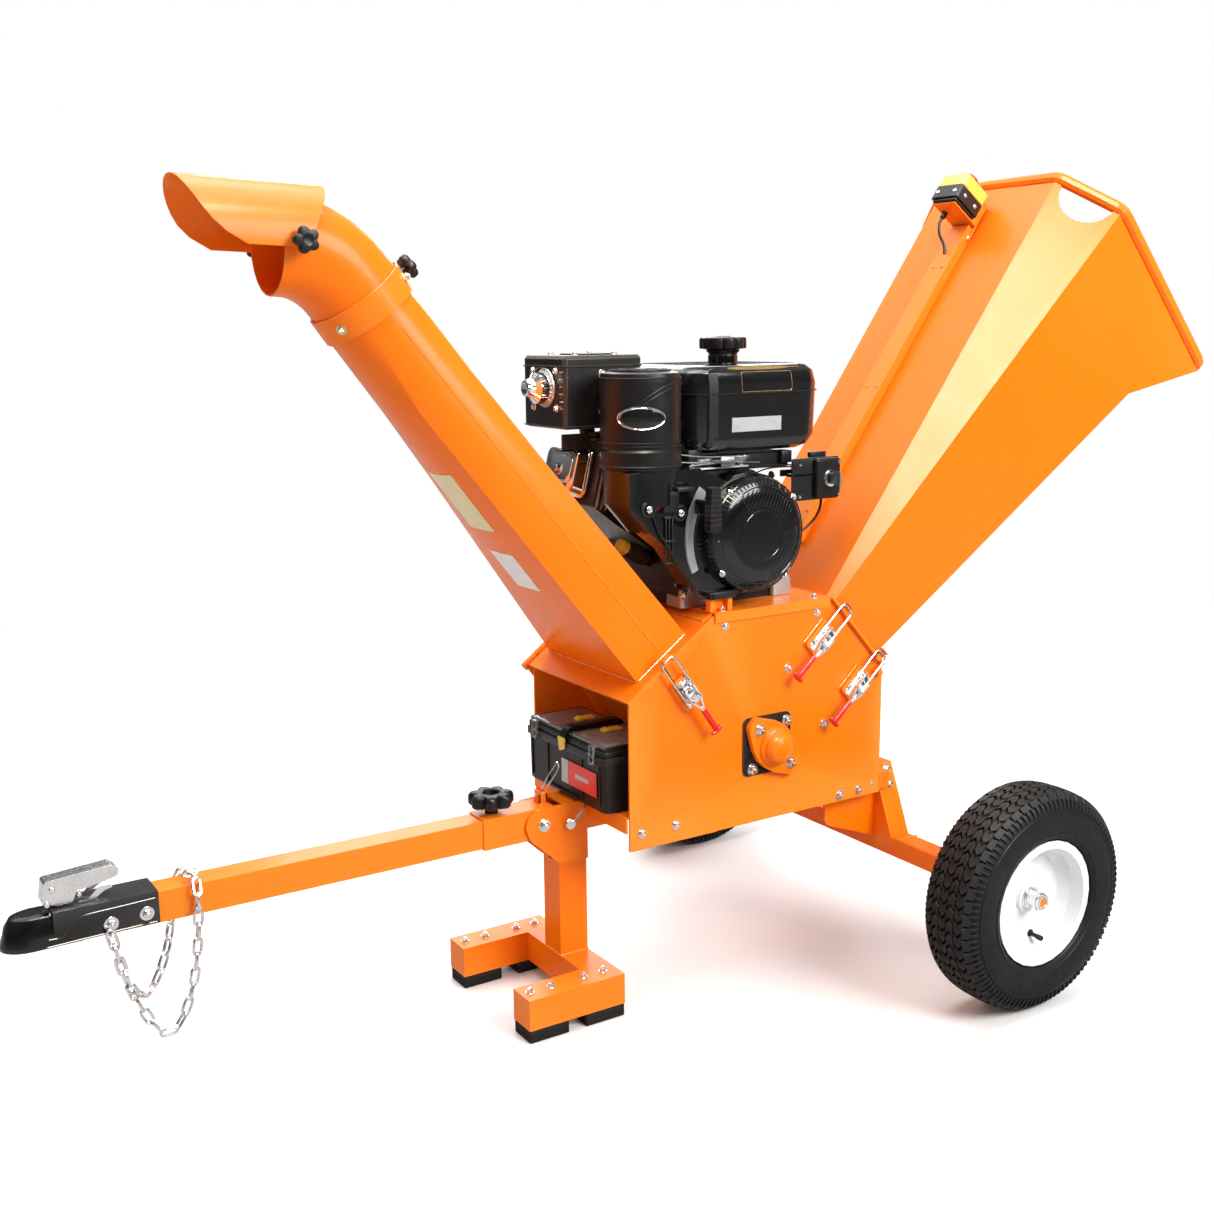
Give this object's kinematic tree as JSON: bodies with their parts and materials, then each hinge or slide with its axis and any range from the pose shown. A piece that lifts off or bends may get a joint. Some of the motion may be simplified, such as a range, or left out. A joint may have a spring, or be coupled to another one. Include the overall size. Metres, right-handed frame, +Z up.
{
  "type": "wood chipper",
  "caption": "Towable petrol wood chipper with flared feed hopper, swivelling discharge chute, drum rotor, engine, two pneumatic wheels and folding drawbar with ball coupler.",
  "frame": {"origin": "on the ground, in the middle of the whole object's footprint (the middle of its bounding box's bottom); the wheel axle is 433 mm from it towards +X", "axes": "+X towards the feed hopper, -X towards the tow coupler, -Y the latch and starter side, +Z up"},
  "size_m": [2.3582, 1.11, 1.5001],
  "materials": {
    "orange": "gloss powder coat",
    "black_paint": "satin",
    "black_plastic": "satin",
    "rubber": "matt",
    "tyre": "matt",
    "steel": "machined",
    "zinc": "bright zinc plate",
    "alloy": "as cast",
    "chrome": "polished",
    "white_paint": "gloss",
    "yellow_plastic": "gloss",
    "red_plastic": "gloss"
  },
  "bodies": {
    "frame": {"side_plate_near": "orange", "side_plate_far": "orange", "deck_plate": "orange", "rotor_housing": "orange", "bed_knife": "steel", "main_beam": "orange", "front_stand": "orange", "foot_pad_near": "rubber", "foot_pad_far": "rubber", "axle_frame": "orange", "bearing_plate_near": "black_paint", "bearing_near": "orange", "bearing_far": "orange", "belt_guard": "orange", "drive_belt": "rubber", "chute_hinge_pin": "orange", "hopper_hinge_pin": "orange", "engine_block": "alloy", "valve_cover": "chrome", "blower_housing": "black_plastic", "muffler": "black_paint", "air_cleaner": "black_plastic", "fuel_tank": "black_plastic", "key_switch_box": "black_plastic", "toolbox": "black_plastic"},
    "rotor": {"rotor_drum": "steel", "driven_pulley": "steel"},
    "crank": {"drive_pulley": "steel"},
    "chute": {"chute_duct": "orange"},
    "elbow": {"chute_elbow": "orange"},
    "elbow_screw": {"elbow_knob": "black_plastic"},
    "hood": {"chute_hood": "orange"},
    "hood_screw": {"hood_knob_near": "black_plastic"},
    "hopper": {"hopper_cone": "orange", "hopper_rim": "orange", "estop_channel": "orange", "estop_box": "yellow_plastic"},
    "stop_button": {"estop_button": "red_plastic"},
    "lever_1": {"latch_lever_1": "zinc"},
    "lever_2": {"latch_lever_2": "zinc"},
    "lever_3": {"latch_lever_3": "zinc"},
    "bail_1": {"latch_ubolt_1": "zinc"},
    "bail_2": {"latch_ubolt_2": "zinc"},
    "bail_3": {"latch_ubolt_3": "zinc"},
    "sleeve": {"tow_sleeve": "orange"},
    "sleeve_screw": {"sleeve_knob": "black_plastic"},
    "drawbar": {"tow_bar": "orange", "coupler": "black_paint"},
    "coupler_lever": {"coupler_latch": "zinc"},
    "stand_pin": {"hitch_pin": "zinc"},
    "wheel_near": {"wheel_rim_near": "white_paint", "tyre_near": "tyre"},
    "wheel_far": {"wheel_rim_far": "white_paint", "tyre_far": "tyre"},
    "starter_grip": {"pull_handle": "black_plastic"},
    "tank_cap": {"fuel_cap": "black_plastic"},
    "oil_filler": {"oil_cap": "yellow_plastic"},
    "key": {"ignition_key": "steel"},
    "throttle": {"throttle_lever": "steel"},
    "box_lid": {"toolbox_lid": "black_plastic"}
  },
  "joints": [
    {"name": "rotor_spin", "type": "hinge", "parent": "frame", "child": "rotor", "pos_m": [0.12091, 0, 0.451], "axis": [0, 1, 0], "continuous": true},
    {"name": "crank_spin", "type": "hinge", "parent": "frame", "child": "crank", "pos_m": [0.08291, 0, 0.842], "axis": [0, 1, 0], "continuous": true},
    {"name": "chute_swing", "type": "hinge", "parent": "frame", "child": "chute", "pos_m": [-0.11261, 0.1768, 0.63509], "axis": [-0.809, 0, -0.5878], "range_deg": [0, 90]},
    {"name": "elbow_swivel", "type": "hinge", "parent": "chute", "child": "elbow", "pos_m": [-0.56926, 0, 1.24149], "axis": [-0.5878, 0, 0.809], "continuous": true},
    {"name": "elbow_screw_turn", "type": "hinge", "parent": "elbow", "child": "elbow_screw", "pos_m": [-0.50308, 0, 1.28957], "axis": [0.809, 0, 0.5878], "range_deg": [0, 360]},
    {"name": "hood_tilt", "type": "hinge", "parent": "elbow", "child": "hood", "pos_m": [-0.69409, 0, 1.33], "axis": [0, -1, 0], "range_deg": [-8, 60]},
    {"name": "hood_screw_turn", "type": "hinge", "parent": "hood", "child": "hood_screw", "pos_m": [-0.69409, -0.0917, 1.33], "axis": [0, -1, 0], "range_deg": [0, 360]},
    {"name": "hopper_swing", "type": "hinge", "parent": "frame", "child": "hopper", "pos_m": [0.32337, 0.1768, 0.63789], "axis": [-0.6691, 0, 0.7431], "range_deg": [0, 90]},
    {"name": "stop_press", "type": "slide", "parent": "hopper", "child": "stop_button", "axis": [-0.5904, 0, -0.8071], "range_m": [0, 0.004]},
    {"name": "latch_1_lever", "type": "hinge", "parent": "frame", "child": "lever_1", "pos_m": [-0.07691, -0.18, 0.58934], "axis": [-0.809, 0, -0.5878], "range_deg": [0, 90]},
    {"name": "latch_1_bail", "type": "hinge", "parent": "lever_1", "child": "bail_1", "pos_m": [-0.06221, -0.1793, 0.56912], "axis": [-0.809, 0, -0.5878], "range_deg": [-90, 0]},
    {"name": "latch_2_lever", "type": "hinge", "parent": "frame", "child": "lever_2", "pos_m": [0.24079, -0.18, 0.64293], "axis": [-0.6691, 0, 0.7431], "range_deg": [0, 90]},
    {"name": "latch_2_bail", "type": "hinge", "parent": "lever_2", "child": "bail_2", "pos_m": [0.22221, -0.1793, 0.6262], "axis": [-0.6691, 0, 0.7431], "range_deg": [-90, 0]},
    {"name": "latch_3_lever", "type": "hinge", "parent": "frame", "child": "lever_3", "pos_m": [0.32911, -0.18, 0.54484], "axis": [-0.6691, 0, 0.7431], "range_deg": [0, 90]},
    {"name": "latch_3_bail", "type": "hinge", "parent": "lever_3", "child": "bail_3", "pos_m": [0.31053, -0.1793, 0.52811], "axis": [-0.6691, 0, 0.7431], "range_deg": [-90, 0]},
    {"name": "drawbar_fold", "type": "hinge", "parent": "frame", "child": "sleeve", "pos_m": [-0.28109, 0, 0.338], "axis": [0, 1, 0], "range_deg": [0, 60]},
    {"name": "sleeve_screw_turn", "type": "hinge", "parent": "sleeve", "child": "sleeve_screw", "pos_m": [-0.36709, 0, 0.369], "axis": [0, 0, 1], "range_deg": [0, 360]},
    {"name": "drawbar_slide", "type": "slide", "parent": "sleeve", "child": "drawbar", "axis": [-1, 0, 0], "range_m": [0, 0.05]},
    {"name": "coupler_lever_lift", "type": "hinge", "parent": "drawbar", "child": "coupler_lever", "pos_m": [-1.10709, 0, 0.39], "axis": [0, -1, 0], "range_deg": [0, 75]},
    {"name": "stand_pin_pull", "type": "slide", "parent": "frame", "child": "stand_pin", "axis": [0, -1, 0], "range_m": [0, 0.11]},
    {"name": "wheel_near_spin", "type": "hinge", "parent": "frame", "child": "wheel_near", "pos_m": [0.43291, -0.496, 0.203], "axis": [0, 1, 0], "continuous": true},
    {"name": "wheel_far_spin", "type": "hinge", "parent": "frame", "child": "wheel_far", "pos_m": [0.43291, 0.496, 0.203], "axis": [0, 1, 0], "continuous": true},
    {"name": "starter_pull", "type": "slide", "parent": "frame", "child": "starter_grip", "axis": [0, -1, 0], "range_m": [0, 0.5]},
    {"name": "tank_cap_turn", "type": "hinge", "parent": "frame", "child": "tank_cap", "pos_m": [0.13291, 0, 1.15], "axis": [0, 0, 1], "range_deg": [0, 90]},
    {"name": "oil_cap_turn", "type": "hinge", "parent": "frame", "child": "oil_filler", "pos_m": [-0.08529, -0.005, 0.8126], "axis": [-0.8887, 0, 0.4585], "range_deg": [0, 360]},
    {"name": "key_turn", "type": "hinge", "parent": "frame", "child": "key", "pos_m": [0.28291, -0.1323, 0.925], "axis": [0, -1, 0], "range_deg": [0, 60]},
    {"name": "throttle_turn", "type": "hinge", "parent": "frame", "child": "throttle", "pos_m": [0.02791, -0.112, 0.9686], "axis": [0, 0, 1], "range_deg": [-20, 25]},
    {"name": "box_lid_lift", "type": "hinge", "parent": "frame", "child": "box_lid", "pos_m": [-0.09609, 0, 0.476], "axis": [0, 1, 0], "range_deg": [0, 45]}
  ],
  "couplings": [
    {"joint": "crank_spin", "follows": "rotor_spin", "ratio": 1.8889},
    {"joint": "latch_1_bail", "follows": "latch_1_lever", "ratio": -1},
    {"joint": "latch_2_bail", "follows": "latch_2_lever", "ratio": -1},
    {"joint": "latch_3_bail", "follows": "latch_3_lever", "ratio": -1}
  ]
}
